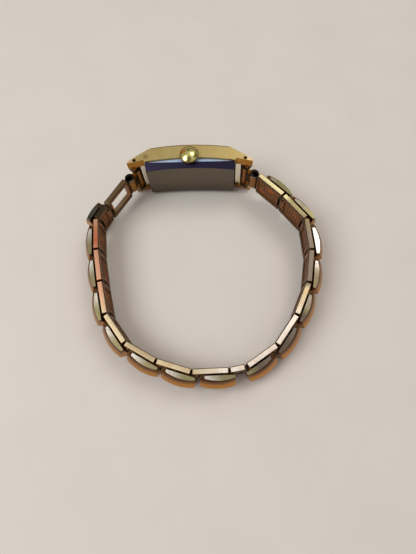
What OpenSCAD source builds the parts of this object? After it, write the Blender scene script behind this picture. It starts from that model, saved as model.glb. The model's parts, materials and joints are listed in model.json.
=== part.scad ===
// Quartz wristwatch lying on its 9 o'clock side, bracelet closed into a loop.
// X runs from 6 o'clock to 12 o'clock, Y out of the dial and Z towards the crown.
// The origin is the middle of the flat case side that the watch rests on.

/* [Case] */
// Case width from the 9 o'clock side to the 3 o'clock side
case_w = 12.6; // [11.8:0.1:14]
// Length of the case body between its end walls
case_l = 21.8; // [21:0.1:24]
// Height of the gold side at the middle of the case
side_h = 3.5; // [3.2:0.1:4]
// Wall of the gold case
case_wall = 1.0; // [0.8:0.05:1.2]
// Radius of the arch along the top of the bezel
arch_r = 58; // [45:1:80]
// Length of the slope between the flat top and each end of the case body
slope_l = 1.0; // [0.6:0.1:1.6]
// Distance from the end of the case body to the spring bar holes
lug_reach = 2.5; // [2.3:0.1:2.8]
// Thickness of each lug
lug_t = 1.5; // [1.2:0.05:1.8]
// How far the spring bar holes lie below the arch of the gold edge
pin_drop = 0.55; // [0.4:0.05:0.8]
// Length of the gold end wall between the lugs, past the steel back
hood_l = 1.25; // [1.1:0.05:1.35]
// Depth of the steel back below the gold edge
back_h = 2.3; // [2.1:0.05:2.8]
// Wall of the steel back
back_wall = 0.5; // [0.4:0.05:0.6]
// Height of the straight polished band of the back
band_h = 0.95; // [0.7:0.05:1.1]
// Radius of the arch along the steel back
back_r = 100; // [70:5:200]

/* [Crystal and dial] */
// Gold left beyond each end of the crystal
frame_l = 2.1; // [1.9:0.1:2.5]
// Gold left beyond each long side of the crystal
frame_w = 1.7; // [1.5:0.1:2]
// Thickness of the crystal over the dial
crystal_t = 0.9; // [0.8:0.05:1]
// Thickness of the gasket round the crystal
crystal_gap = 0.25; // [0.2:0.05:0.35]
// Width of the ledge that carries the crystal
ledge_w = 0.7; // [0.5:0.05:0.9]
// Thickness of the dial
dial_t = 0.3; // [0.2:0.05:0.4]
// Length of the minute hand from its centre
minute_l = 3.6; // [3.2:0.1:3.7]
// Length of the hour hand from its centre
hour_l = 2.3; // [2:0.1:2.6]

/* [Crown] */
// Diameter of the crown
crown_d = 4.6; // [4:0.1:5.2]
// Height of the fluted rim of the crown
crown_h = 0.6; // [0.5:0.05:0.8]
// Height of the domed top of the crown
crown_dome = 0.75; // [0.5:0.05:1]
// How far the crown pulls out to set the hands
crown_pull = 0.8; // [0.5:0.05:1]
// Diameter of the stem
stem_d = 0.7; // [0.6:0.05:0.8]

/* [Bracelet] */
// Width of the bracelet
band_w = 7.2; // [6.8:0.1:7.8]
// Hinge to hinge length of a link
pitch = 7.9; // [7.5:0.05:8.3]
// Length of the first link of each strand
first_l = 9.4; // [9:0.05:9.8]
// Length of the short second link on the left
short_l = 4.15; // [4:0.05:4.6]
// Length of the bare link at the clasp
clasp_l = 3.6; // [3.3:0.05:4]
// Length of the end links between spring bar and knuckle
end_l = 3.0; // [2.9:0.05:3.3]
// Thickness of a link's rails
rail_t = 1.3; // [1.2:0.05:1.4]
// Width of each rail along the hinge pin
rail_w = 1.2; // [1.1:0.05:1.3]
// Gap between the rails of two links
rail_gap = 0.5; // [0.45:0.05:0.6]
// Slot between a link and its cap
cap_gap = 0.3; // [0.2:0.05:0.4]
// Thickness of a cap at the middle of its edge
cap_t = 1.2; // [1:0.05:1.4]
// Thickness of a cap at its ends
cap_end_t = 0.45; // [0.3:0.05:0.6]
// How far the ridge of a cap stands out at half its width
cap_bulge = 1.3; // [0.9:0.05:1.6]
// Radius of the soft ridge along a cap
ridge_r = 1.5; // [1:0.1:2.5]
// How far each cap sits forward of its link, towards the clasp
cap_shift = 1.4; // [1.2:0.05:1.6]
// Space between two neighbouring caps when the bracelet is straight
cap_space = 0.4; // [0.35:0.05:0.6]
// Diameter of the link pins
link_pin_d = 0.7; // [0.6:0.05:0.75]
// Spacing of the ribs across the inner face of a link
rib_pitch = 0.75; // [0.5:0.05:1]

/* [Movement] */
// Length of the movement
movement_l = 15.6; // [15.4:0.1:16.4]
// Width of the movement
movement_w = 7.4; // [7.2:0.1:8]
// Diameter of the button cell
cell_d = 5.8; // [5.4:0.1:5.9]
// Height of the button cell
cell_h = 2.1; // [1.6:0.05:2.2]
// Size of one tooth module in the motion work
motion_m = 0.1; // [0.09:0.0025:0.105]
// Size of one tooth module between the rotor and the step wheel
step_m = 0.09; // [0.08:0.005:0.092]

/* [Fits] */
// Radial clearance of a pin that turns in its hole
run = 0.05; // [0.03:0.01:0.08]
// Radial clearance of a pin that is fixed in its hole
seat = 0.01; // [0.01:0.005:0.02]
// Side clearance between parts that turn beside each other
play = 0.06; // [0.05:0.01:0.1]
// Seam between the case, the back and what they hold
seam = 0.03; // [0.02:0.01:0.05]

/* [Hidden] */
$fn = 48;
LEFT_NAMES = ["link_left_1", "link_left_2", "link_left_3", "link_left_4", "link_left_5",
    "link_left_6", "link_left_7", "link_left_8", "link_left_9", "clasp_link"];
LEFT_CAPS = ["", "cap_left_2", "cap_left_3", "cap_left_4", "cap_left_5",
    "cap_left_6", "cap_left_7", "cap_left_8", "cap_left_9", ""];
RIGHT_NAMES = ["link_right_1", "link_right_2", "link_right_3", "link_right_4",
    "link_right_5", "link_right_6", "link_right_7"];
RIGHT_CAPS = ["cap_right_1", "cap_right_2", "cap_right_3", "cap_right_4",
    "cap_right_5", "cap_right_6", "cap_right_7"];

// Colours
GOLD = [0.80, 0.66, 0.34];
BRIGHT_GOLD = [0.90, 0.76, 0.36];
COPPER_GOLD = [0.72, 0.50, 0.34];
AMBER_GOLD = [0.60, 0.42, 0.16];
STEEL = [0.50, 0.50, 0.54];
BRASS = [0.78, 0.66, 0.42];
RUBBER = [0.08, 0.08, 0.09];

// Heights of the case along Y, counted from the resting point
eps = 0.01;
over = 1;
mid_z = case_w / 2;
crest_y = side_h / 2;
edge_y = -side_h / 2;
edge_r = arch_r + 2;
pin_y = edge_y - pin_drop;
body_x = case_l / 2;
crystal_l = case_l - 2 * frame_l;
crystal_w = case_w - 2 * frame_w;
lug_span = case_l + 2 * lug_reach;
cavity_x = body_x - case_wall;
cavity_z = mid_z - case_wall;
lug_in = mid_z - lug_t;
back_y = edge_y - back_h;
floor_y = back_y + back_wall;
lug_nose = 1.75;
lug_drop = 1.45;
lug_bevel = 0.6;
LUG_ROOT = [body_x + 0.1, pin_y - 0.5];
LUG_TIP = [lug_span / 2 + 0.83 * lug_nose, pin_y - lug_drop];
hood_y = pin_y - 0.4;
hood_groove = 0.25;
back_inset = 0.55;
back_taper = 0.6;
end_taper = 0.35;

// Crystal seat, dial and hands
seat_y = crest_y - crystal_t - 0.5;
ledge_t = 0.5;
dial_y = seat_y - ledge_t;
crystal_rise = 0.1;
crystal_corner = 0.6;
marker_l = 1.1;
marker_w = 0.32;
marker_t = 0.12;
hour_y = dial_y + 0.28;
minute_y = hour_y + 0.26;
hand_t = 0.12;
hand_tip = 0.15;
hand_tail = 0.2;
hand_waist = 0.75;
minute_eye = 0.42;
hour_eye = 0.7;
hour_angle = 60;
arbor_r = 0.16;
thin_r = 0.1;

// Back rim, gasket and the room left for the movement
lip_h = 0.5;
lip_t = 0.3;
gasket_t = 0.3;
lip_x = cavity_x - gasket_t - 2 * seam;
lip_z = cavity_z - gasket_t - 2 * seam;
ring_x = lip_x - lip_t - seam;
ring_z = lip_z - lip_t - seam;
plate_x = movement_l / 2;
plate_z = movement_w / 2;

// Movement levels along Y
plate_top = dial_y - dial_t - seam;
recess = 0.5;
deck_y = plate_top - recess;
plate_bottom = deck_y - 0.9;
bridge_top = plate_bottom - 0.95;
bridge_t = 0.3;
stem_y = edge_y + 0.15;
cell_y = floor_y + 0.12;

// Crown
crown_r = crown_d / 2;
crown_z = case_w + 0.3;
crown_step = 0.2;
crown_taper = 0.5;
crown_land = 0.15;
flutes = 26;
flute_r = 0.18;
crown_bore = 0.75;
tube_out = 0.35;
tube_r = stem_d / 2 + 0.35;
tube_in = stem_d / 2 + run;
clutch_l = 1.0;
clutch_r = 0.72;
square_w = stem_d * 0.62;
stem_end = mid_z + 1.9;
clutch_z = stem_end + 0.35;

// Tooth counts of the motion work and the train, and the height of a tooth in modules
tooth_tip = 0.75;
tooth_root = 1.1;
root_share = 0.30;
tip_share = 0.14;
CANNON_N = 10;
MINUTE_N = 30;
MINUTE_PINION_N = 8;
HOUR_N = 32;
CENTRE_N = 30;
STEP_PINION_N = 6;
STEP_N = 36;
ROTOR_PINION_N = 6;
motion_cd = motion_m * (CANNON_N + MINUTE_N) / 2;
centre_cd = motion_m * (CENTRE_N + STEP_PINION_N) / 2;
step_cd = step_m * (STEP_N + ROTOR_PINION_N) / 2;
minute_dir = -30;
step_dir = -20;
rotor_dir = -13;
minute_at = polar([0, 0], minute_dir, motion_cd);
step_at = polar([0, 0], step_dir, centre_cd);
rotor_at = polar(step_at, rotor_dir, step_cd);
wheel_r = motion_m * (CENTRE_N / 2 + tooth_tip);
cell_x = -(wheel_r + 0.2 + cell_d / 2);
magnet_r = 0.75;
magnet_t = 0.45;
motion_low = deck_y + play;
wheel_t = 0.17;
train_t = 0.15;
step_y = bridge_top + 0.12;
centre_y = plate_bottom - 0.3;
pivot_l = 0.2;
sleeve_r = 0.35;
cannon_r = 0.28;
pipe_r = 0.45;
shake = 0.15;
bridge_x = 1.9;
bridge_z = 2.1;
pillar_r = 0.25;
cell_room = 0.1;
cell_step = 0.3;
cell_rim = 0.7;
strap_t = 0.08;
strap_foot = 0.25;
board_t = 0.15;
can_r = 0.44;
can_l = 3.2;
chip_t = 0.35;
chip_w = 1.6;
stator_r = 1.3;
stator_t = 0.3;
stator_arm = 0.5;
stator_post = 0.35;
stator_x = rotor_at[0] - stator_r;
coil_x = stator_x + stator_post + 0.05;
coil_z = plate_z - 1;
coil_l = 3.6;
coil_r = 0.42;
coil_flange = 0.04;
bobbin_t = 0.2;
clutch_rim = 0.25;
clutch_teeth = 12;
clutch_tooth = 0.35;

// Link details, measured from the hinge axis
pin_r = link_pin_d / 2;
knuckle_z = 1.5;
ear_in = knuckle_z + play;
ear_out = band_w / 2 - rail_w - play;
web_lap = 0.2;
web_x = rail_t / 2 + web_lap;
web_rise = 0.3;
bar_l = 0.4;
frame_bar = 0.5;
panel_z = band_w / 2 - rail_w;
panel_in = 0.3;
panel_t = 0.5;
rib_h = 0.12;
rib_w = 0.25;
rib_end = 0.35;
end_relief = 0.28;
cap_y = rail_t / 2 + cap_gap;
cap_l = pitch - cap_space;
cap_sag = cap_t - cap_end_t;
cap_r = (cap_l * cap_l / 4 + cap_sag * cap_sag) / (2 * cap_sag);
cap_edge = 0.12;
tab_l = 1.0;
side_plate_t = 0.35;
side_inset = 0.12;
side_start = 1.1;
block_gap = 0.1;
clasp_reach = 0.8;

// First hinge: a rolled knuckle on the end link, with a thicker pin
roll_r = 1.25;
roll_z = 2.0;
roll_pin_r = 0.45;
roll_wall = 0.25;
roll_hollow = 0.4;
arm_in = roll_z + play;
arm_t = 0.5;
arm_r = 1.15;
arm_w = 1.3;
head_l = 1.55;
rail_start = 1.55;
bar_r = 0.55;
bar_tip_r = 0.38;
bar_bite = 1.4;
head_start = 1.1;
neck_t = 1.2;
barrel_r = 0.98;
barrel_z = lug_in - play - 0.04;

// Directions of the links as the closed bracelet lies, in degrees from +X
LEFT_TURN = [-128, -123, -119, -85, -79, -76.5, -53.5, -29.5, -17, 2, 14.5];
RIGHT_TURN = [-39.5, -45, -52, -85.5, -99, -113.5, -125.5, -147.5];
LEFT_L = [end_l, first_l, short_l, pitch, pitch, pitch, pitch, pitch, pitch, pitch, clasp_l];
RIGHT_L = [end_l, first_l, pitch, pitch, pitch, pitch, pitch, pitch];
LEFT_N = len(LEFT_L) - 1;
RIGHT_N = len(RIGHT_L) - 1;
LEFT_BAR = [-lug_span / 2, pin_y];
RIGHT_BAR = [lug_span / 2, pin_y];

// The loop is closed by bending each strand a little more towards its far end
function polar(p, a, r) = p + r * [cos(a), sin(a)];
function turned(turns, u) = [for (i = [0:len(turns) - 1]) turns[i] + u * i / (len(turns) - 1)];
function chain(p, turns, lens, i = 0) =
    i == len(turns) ? [p]
    : concat([p], chain(polar(p, turns[i], lens[i]), turns, lens, i + 1));
function last(list) = list[len(list) - 1];
function clasp_miss(u) =
    last(chain(LEFT_BAR, turned(LEFT_TURN, u[0]), LEFT_L))
    - last(chain(RIGHT_BAR, turned(RIGHT_TURN, u[1]), RIGHT_L));
function closed(u, steps) = steps == 0 ? u : closed(u - correction(u), steps - 1);
function correction(u, h = 0.1) =
    let (m = clasp_miss(u),
         a = clasp_miss(u + [h, 0]) - m,
         b = clasp_miss(u + [0, h]) - m,
         d = a[0] * b[1] - a[1] * b[0])
    h * [(m[0] * b[1] - m[1] * b[0]) / d, (a[0] * m[1] - a[1] * m[0]) / d];
ROUNDS = 6;
BEND = closed([0, 0], ROUNDS);
LEFT_A = turned(LEFT_TURN, BEND[0]);
RIGHT_A = turned(RIGHT_TURN, BEND[1]);
LEFT_P = chain(LEFT_BAR, LEFT_A, LEFT_L);
RIGHT_P = chain(RIGHT_BAR, RIGHT_A, RIGHT_L);

// A flat sketch in X and Z, raised along Y between two heights
module raised(y0, y1) {
    translate([0, y1, mid_z]) rotate([90, 0, 0]) linear_extrude(y1 - y0) children();
}

// A shape whose own axis is Z, stood along Y at a place on the dial plane
module on_dial(at, y) {
    translate([at[0], y, mid_z + at[1]]) rotate([-90, 0, 0]) children();
}

module plate(x, z) { square([2 * x, 2 * z], center = true); }

// A rectangle with round corners
module soft_plate(x, z, r) {
    plate(x - r, z);
    plate(x, z - r);
    for (sx = [-1, 1], sz = [-1, 1])
        translate([sx * (x - r), sz * (z - r)]) circle(r);
}

// Everything under an arch whose axis runs along Z
module under_arch(y, r) {
    translate([0, y - r, mid_z]) cylinder(r = r, h = 2 * case_w, center = true, $fn = 180);
}

// A gear: a disc with trapezoid teeth, standing along its own axis.
// A tooth points along the angle given, or a gap where gap is true.
module gear(n, m, h, angle = 0, gap = false) {
    root = m * (n / 2 - tooth_root);
    tip = m * (n / 2 + tooth_tip);
    half_root = root_share * 360 / n;
    half_tip = tip_share * 360 / n;
    rotate(angle + (gap ? 180 / n : 0)) linear_extrude(h)
        polygon([for (i = [0:n - 1], k = [0:3])
            let (a = 360 * i / n, r = (k == 0 || k == 3) ? root : tip,
                 d = [-half_root, -half_tip, half_tip, half_root][k])
            [r * cos(a + d), r * sin(a + d)]]);
}

// Outline of the gold side: arch, sloping shoulders and lugs
module side_outline() {
    top_x = body_x - slope_l;
    shoulder_y = crest_y - top_x * top_x / (2 * arch_r);
    pin_x = lug_span / 2;
    half = [[top_x, crest_y + over], [top_x, shoulder_y],
        [pin_x + 0.63 * lug_nose, pin_y + 0.07 * lug_drop],
        [pin_x + 0.89 * lug_nose, pin_y - 0.28 * lug_drop],
        [pin_x + lug_nose, pin_y - 0.65 * lug_drop], LUG_TIP, LUG_ROOT,
        [body_x, LUG_ROOT[1] - eps]];
    n = len(half);
    polygon([for (i = [0:2 * n - 1])
        i < n ? half[i] : [-half[2 * n - 1 - i][0], half[2 * n - 1 - i][1]]]);
}

// A square bar laid along the lower edge of a lug, to cut its chamfer
module lug_chamfer() {
    run_v = LUG_TIP - LUG_ROOT;
    bar = lug_bevel * sqrt(2);
    translate(LUG_ROOT) rotate(atan2(run_v[1], run_v[0])) rotate([45, 0, 0])
        translate([0, -bar / 2, -bar / 2]) cube([norm(run_v) + over, bar, bar]);
}

module lower_arch_cut(drop) {
    translate([0, edge_y - drop - edge_r, mid_z])
        cylinder(r = edge_r, h = 2 * case_w, center = true, $fn = 180);
}

module case_shell() {
    color(GOLD) difference() {
        intersection() {
            linear_extrude(case_w) side_outline();
            under_arch(crest_y, arch_r);
        }
        // Underside of the body, arched between the lugs
        intersection() {
            lower_arch_cut(0);
            translate([-body_x, edge_y - side_h, -over])
                cube([case_l, 2 * side_h, case_w + 2 * over]);
        }
        // Room for the movement
        raised(edge_y - side_h, dial_y) plate(cavity_x, cavity_z);
        // Window over the dial and seat for the crystal
        raised(dial_y - over, crest_y + over)
            soft_plate(crystal_l / 2 - ledge_w, crystal_w / 2 - ledge_w, 0.6 * ledge_w);
        raised(seat_y, crest_y + over) soft_plate(crystal_l / 2 + crystal_gap,
            crystal_w / 2 + crystal_gap, crystal_corner + crystal_gap);
        for (s = [0, 1]) mirror([s, 0, 0]) {
            // Gap between the lugs, past the end wall
            translate([body_x + hood_l, -2 * side_h, mid_z - lug_in])
                cube([lug_span, 4 * side_h, 2 * lug_in]);
            // Flat underside of the end wall, and the groove beside the back
            translate([body_x, hood_y - side_h, mid_z - lug_in])
                cube([hood_l + eps, side_h, 2 * lug_in]);
            translate([body_x, hood_y - eps, mid_z - lug_in])
                cube([hood_groove, 2 * hood_groove, 2 * lug_in]);
            translate([lug_span / 2, pin_y, -over])
                cylinder(r = bar_tip_r + run, h = case_w + 2 * over);
            lug_chamfer();
            translate([0, 0, case_w]) lug_chamfer();
        }
        // Hole for the crown tube
        translate([0, stem_y, mid_z]) cylinder(r = tube_r + seat, h = case_w);
    }
}

module crystal() {
    color([0.85, 0.92, 0.95, 0.4]) difference() {
        intersection() {
            raised(seat_y + seam, crest_y + over)
                soft_plate(crystal_l / 2, crystal_w / 2, crystal_corner);
            under_arch(crest_y + crystal_rise, arch_r);
        }
        intersection() {
            raised(seat_y - over, crest_y) plate(crystal_l / 2 - ledge_w, crystal_w / 2 - ledge_w);
            under_arch(crest_y + crystal_rise - crystal_t, arch_r);
        }
    }
}

module crystal_gasket() {
    outer = crystal_gap - seam;
    color(RUBBER) raised(seat_y + seam, seat_y + ledge_t) difference() {
        soft_plate(crystal_l / 2 + outer, crystal_w / 2 + outer, crystal_corner + outer);
        soft_plate(crystal_l / 2 + seam, crystal_w / 2 + seam, crystal_corner);
    }
}

module dial() {
    color([0.93, 0.91, 0.84]) raised(dial_y - dial_t, dial_y) difference() {
        plate(ring_x - seam, ring_z - seam);
        circle(pipe_r + shake);
    }
    // Applied hour markers at 12, 3, 6 and 9
    color(BRIGHT_GOLD) for (q = [0:3]) {
        far = (q % 2 == 0 ? crystal_l : crystal_w) / 2 - ledge_w - marker_l;
        raised(dial_y, dial_y + marker_t) rotate(90 * q) translate([far, 0])
            plate(marker_l / 2, marker_w / 2);
    }
}

module case_back() {
    top_z = mid_z - back_inset;
    band_y = edge_y - band_h;
    below = back_y - back_h;
    low_z = top_z - back_taper * (band_y - below) / (band_y - back_y);
    color(STEEL) difference() {
        union() {
            intersection() {
                // Arched side view, narrowing a little towards the back
                linear_extrude(case_w) difference() {
                    polygon([[-body_x, edge_y + over], [body_x, edge_y + over], [body_x, band_y],
                        [body_x - end_taper, below], [end_taper - body_x, below],
                        [-body_x, band_y]]);
                    translate([0, back_y - back_r]) circle(back_r, $fn = 180);
                }
                // Straight upper band with a bevel below it
                translate([-case_l, 0, mid_z]) rotate([90, 0, 90]) linear_extrude(2 * case_l)
                    polygon([[edge_y + over, -top_z], [edge_y + over, top_z], [band_y, top_z],
                        [below, low_z], [below, -low_z], [band_y, -top_z]]);
                lower_arch_cut(seam);
            }
            // Rim that snaps into the gold case
            raised(edge_y - 0.7 * back_h, edge_y + lip_h) plate(lip_x, lip_z);
        }
        raised(floor_y, edge_y + 2 * over) plate(lip_x - lip_t, lip_z - lip_t);
        translate([0, stem_y, mid_z]) cylinder(r = tube_r + seat, h = case_w);
    }
}

module back_gasket() {
    color(RUBBER) difference() {
        raised(edge_y + seam, edge_y + lip_h - 2 * seam) difference() {
            plate(cavity_x - seam, cavity_z - seam);
            plate(lip_x + seam, lip_z + seam);
        }
        translate([0, stem_y, mid_z]) cylinder(r = tube_r + shake, h = case_w);
    }
}

module crown() {
    dome_edge = crown_r - crown_step;
    dome_r = (dome_edge * dome_edge + crown_dome * crown_dome) / (2 * crown_dome);
    color(BRIGHT_GOLD) translate([0, stem_y, crown_z]) difference() {
        union() {
            cylinder(r1 = crown_r - crown_taper, r2 = crown_r, h = crown_h - crown_land + eps);
            translate([0, 0, crown_h - crown_land]) cylinder(r = crown_r, h = crown_land);
            intersection() {
                translate([0, 0, crown_h + crown_dome - dome_r]) sphere(dome_r, $fn = 96);
                translate([0, 0, crown_h - eps]) cylinder(r = crown_r, h = 2 * crown_dome);
            }
        }
        for (i = [0:flutes - 1]) rotate(360 * i / flutes)
            translate([crown_r + flute_r / 2, 0, -over])
                cylinder(r = flute_r, h = crown_h + over + eps, $fn = 16);
        translate([0, 0, -over]) cylinder(r = stem_d / 2 + seat, h = over + crown_bore);
        // Undercut that clears the crown tube
        translate([0, 0, -over]) cylinder(r = tube_r + crown_step, h = over + crown_h / 2);
    }
}

module stem() {
    square_l = clutch_l + crown_pull + 4 * shake;
    color([0.62, 0.63, 0.66]) translate([0, stem_y, 0]) {
        translate([0, 0, stem_end + square_l - eps])
            cylinder(r = stem_d / 2, h = crown_z + crown_bore - stem_end - square_l + eps);
        translate([-square_w / 2, -square_w / 2, stem_end]) cube([square_w, square_w, square_l]);
    }
}

module crown_tube() {
    tube_l = case_wall + 2 * tube_out;
    color(GOLD) translate([0, stem_y, mid_z + cavity_z - tube_out]) difference() {
        cylinder(r = tube_r, h = tube_l);
        translate([0, 0, -over]) cylinder(r = tube_in, h = tube_l + 2 * over);
    }
}

// The clutch wheel turns with the square of the stem, which slides through it
module clutch_wheel() {
    bore = square_w + 2 * seam;
    color(STEEL) translate([0, stem_y, clutch_z]) difference() {
        union() {
            cylinder(r = clutch_r, h = clutch_rim);
            cylinder(r = clutch_r - clutch_rim, h = clutch_l);
            translate([0, 0, clutch_l - clutch_tooth])
                gear(clutch_teeth, clutch_r / (clutch_teeth / 2 + tooth_tip), clutch_tooth);
        }
        translate([-bore / 2, -bore / 2, -over]) cube([bore, bore, clutch_l + 2 * over]);
    }
}

module movement_ring() {
    color([0.82, 0.80, 0.72]) difference() {
        raised(cell_y, plate_top) difference() {
            plate(ring_x, ring_z);
            plate(plate_x + seam, plate_z + seam);
        }
        translate([0, stem_y, mid_z]) cylinder(r = tube_r + shake, h = case_w);
    }
}

module main_plate() {
    color(BRASS) difference() {
        raised(plate_bottom, plate_top) plate(plate_x, plate_z);
        // Recess for the motion work
        on_dial([0, 0], deck_y) cylinder(r = motion_m * (HOUR_N / 2 + 1) + shake, h = 2 * over);
        on_dial(minute_at, deck_y)
            cylinder(r = motion_m * (MINUTE_N / 2 + 1) + shake, h = 2 * over);
        // Centre hole, minute wheel post hole and step arbor hole
        on_dial([0, 0], plate_bottom - over) cylinder(r = sleeve_r + run, h = 3 * over);
        on_dial(minute_at, plate_bottom - over) cylinder(r = arbor_r + run, h = 3 * over);
        on_dial(step_at, plate_bottom - over) cylinder(r = arbor_r + run, h = over + 2 * pivot_l);
        on_dial(rotor_at, plate_bottom - over) cylinder(r = thin_r + run, h = over + 2 * pivot_l);
        // Pocket for the cell and slot for the stem and clutch wheel
        on_dial([cell_x, 0], plate_bottom - over) cylinder(r = cell_d / 2 + cell_room,
            h = cell_y + cell_h + cell_room / 2 - plate_bottom + over);
        translate([-clutch_r - shake, plate_bottom - over, stem_end - shake])
            cube([2 * (clutch_r + shake), stem_y + clutch_r + shake - plate_bottom + over, case_w]);
    }
}

module train_bridge() {
    color([0.70, 0.70, 0.72]) difference() {
        union() {
            raised(bridge_top - bridge_t, bridge_top)
                translate([step_at[0], step_at[1]]) plate(bridge_x, bridge_z);
            // Pillars that stand on the main plate, clear of the wheels
            for (x = [0.4 - bridge_x, bridge_x - over])
                on_dial(step_at + [x, pillar_r - bridge_z], bridge_top - eps)
                    cylinder(r = pillar_r, h = plate_bottom - bridge_top + eps);
        }
        on_dial(step_at, bridge_top - over) cylinder(r = thin_r + run, h = 2 * over);
        on_dial([0, 0], bridge_top - over) cylinder(r = arbor_r + run, h = 2 * over);
        on_dial(rotor_at, bridge_top - over) cylinder(r = thin_r + run, h = 2 * over);
    }
}

module battery() {
    color([0.78, 0.78, 0.80]) {
        on_dial([cell_x, 0], cell_y + cell_step) cylinder(r = cell_d / 2, h = cell_h - cell_step);
        on_dial([cell_x, 0], cell_y) cylinder(r = cell_d / 2 - cell_rim, h = cell_step + eps);
    }
}

// Spring strap that presses on the small face of the cell
module battery_strap() {
    strap_y = cell_y - 0.1;
    strap_top = strap_y + strap_t;
    reach = plate_z - cell_room;
    post_x = cell_x - cell_d / 2 + strap_foot;
    color([0.75, 0.72, 0.60]) {
        raised(strap_y, strap_top) translate([cell_x, 0])
            plate(cell_d / 2 - 2 * strap_foot, 2 * strap_foot);
        raised(strap_y, plate_bottom) translate([post_x, reach - strap_foot])
            plate(2 * strap_foot, strap_foot);
        raised(strap_y, strap_top) translate([post_x + strap_foot, reach / 2])
            plate(strap_foot, reach / 2);
    }
}

// Board with the timing circuit and the can of the quartz crystal
module circuit_board() {
    board_x = step_at[0] + bridge_x + shake;
    board_z = plate_z - 2 * shake;
    color([0.15, 0.35, 0.25]) raised(bridge_top - board_t, bridge_top)
        translate([(board_x + plate_x) / 2, -shake]) plate((plate_x - board_x) / 2, board_z);
    color([0.80, 0.80, 0.82])
        translate([board_x, bridge_top + can_r - 2 * eps, mid_z - plate_z + can_r + 2 * shake])
            rotate([0, 90, 0]) cylinder(r = can_r, h = can_l);
    color([0.08, 0.08, 0.09]) raised(bridge_top - board_t - chip_t, bridge_top - board_t + eps)
        translate([plate_x - chip_w, chip_w]) plate(chip_w / 2, chip_w / 2);
}

// Fine wire wound on the core that joins the two ends of the stator
module coil() {
    flange_r = coil_r + coil_flange;
    color([0.70, 0.36, 0.16]) translate([coil_x, bridge_top + flange_r + 2 * eps, mid_z + coil_z])
        rotate([0, 90, 0]) {
            cylinder(r = coil_r, h = coil_l);
            for (s = [0, coil_l - bobbin_t]) translate([0, 0, s])
                cylinder(r = flange_r, h = bobbin_t);
        }
}

module stator() {
    stator_y = plate_bottom - stator_arm;
    arm_l = coil_z - rotor_at[1];
    far_x = coil_x + coil_l + 0.05;
    color([0.55, 0.56, 0.58]) raised(stator_y, stator_y + stator_t) difference() {
        union() {
            translate(rotor_at) circle(stator_r);
            translate([stator_x, rotor_at[1]]) square([stator_post, arm_l]);
            translate(rotor_at - [0, stator_arm])
                square([far_x + stator_arm - rotor_at[0], 2 * stator_arm]);
            translate([far_x, rotor_at[1]]) square([stator_arm, arm_l]);
        }
        translate(rotor_at) circle(magnet_r + shake);
    }
}

module rotor() {
    low = bridge_top - pivot_l;
    magnet_y = plate_bottom - 0.1 - magnet_t;
    pinion_y = bridge_top + play;
    color([0.30, 0.30, 0.32]) on_dial(rotor_at, magnet_y) cylinder(r = magnet_r, h = magnet_t);
    color(STEEL) {
        on_dial(rotor_at, pinion_y)
            gear(ROTOR_PINION_N, step_m, magnet_y - pinion_y + eps, 180 - rotor_dir, true);
        on_dial(rotor_at, low) cylinder(r = thin_r, h = plate_bottom - low + 1.5 * pivot_l);
    }
}

module step_wheel() {
    low = bridge_top - pivot_l;
    pinion_l = centre_y + train_t - step_y;
    color(BRASS) on_dial(step_at, step_y) gear(STEP_N, step_m, train_t, -rotor_dir);
    color(STEEL) {
        on_dial(step_at, step_y) gear(STEP_PINION_N, motion_m, pinion_l, 180 - step_dir, true);
        on_dial(step_at, step_y) cylinder(r = arbor_r, h = plate_bottom + pivot_l - step_y);
        on_dial(step_at, low) cylinder(r = thin_r, h = step_y - low + eps);
    }
}

// Carries the minute hand: wheel, arbor through the plate and cannon pinion
module centre_wheel() {
    low = bridge_top - pivot_l;
    color(BRASS) on_dial([0, 0], centre_y) gear(CENTRE_N, motion_m, train_t, -step_dir);
    color(STEEL) {
        on_dial([0, 0], low) cylinder(r = arbor_r, h = minute_y + hand_t + hand_tip - low);
        on_dial([0, 0], centre_y) cylinder(r = sleeve_r, h = motion_low - centre_y + eps);
        on_dial([0, 0], motion_low) gear(CANNON_N, motion_m, wheel_t, -minute_dir);
        on_dial([0, 0], motion_low)
            cylinder(r = cannon_r, h = hour_y + hand_t + hand_tip / 2 - motion_low);
    }
}

module minute_wheel() {
    pinion_y = motion_low + wheel_t + play;
    color(BRASS) on_dial(minute_at, motion_low)
        gear(MINUTE_N, motion_m, wheel_t, 180 - minute_dir, true);
    color(STEEL) {
        on_dial(minute_at, motion_low)
            gear(MINUTE_PINION_N, motion_m, pinion_y + wheel_t - motion_low, 180 - minute_dir);
        on_dial(minute_at, plate_bottom + pivot_l / 2)
            cylinder(r = arbor_r, h = motion_low - plate_bottom);
    }
}

module hour_wheel() {
    wheel_y = motion_low + wheel_t + play;
    color(BRASS) difference() {
        union() {
            on_dial([0, 0], wheel_y) gear(HOUR_N, motion_m, wheel_t, -minute_dir, true);
            on_dial([0, 0], wheel_y) cylinder(r = pipe_r, h = hour_y + hand_t - wheel_y);
        }
        on_dial([0, 0], wheel_y - over) cylinder(r = cannon_r + run, h = 4 * over);
    }
}

// A flat hand with a tapering blade, pointing along an angle on the dial
module hand(length, width, eye, bore, angle, y) {
    tail = length * hand_tail;
    waist = length * hand_waist;
    on_dial([0, 0], y) rotate(-angle) linear_extrude(hand_t) difference() {
        union() {
            circle(eye);
            polygon([[-tail, -width / 2], [0, -width / 2], [waist, -0.8 * width / 2], [length, 0],
                [waist, 0.8 * width / 2], [0, width / 2], [-tail, width / 2]]);
        }
        circle(bore);
    }
}

module minute_hand() {
    color(BRIGHT_GOLD)
        hand(minute_l, minute_eye, minute_eye, arbor_r + seat, 0, minute_y);
}

module hour_hand() {
    color(BRIGHT_GOLD)
        hand(hour_l, 0.8 * hour_eye, hour_eye, pipe_r + seat, hour_angle, hour_y);
}

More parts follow.
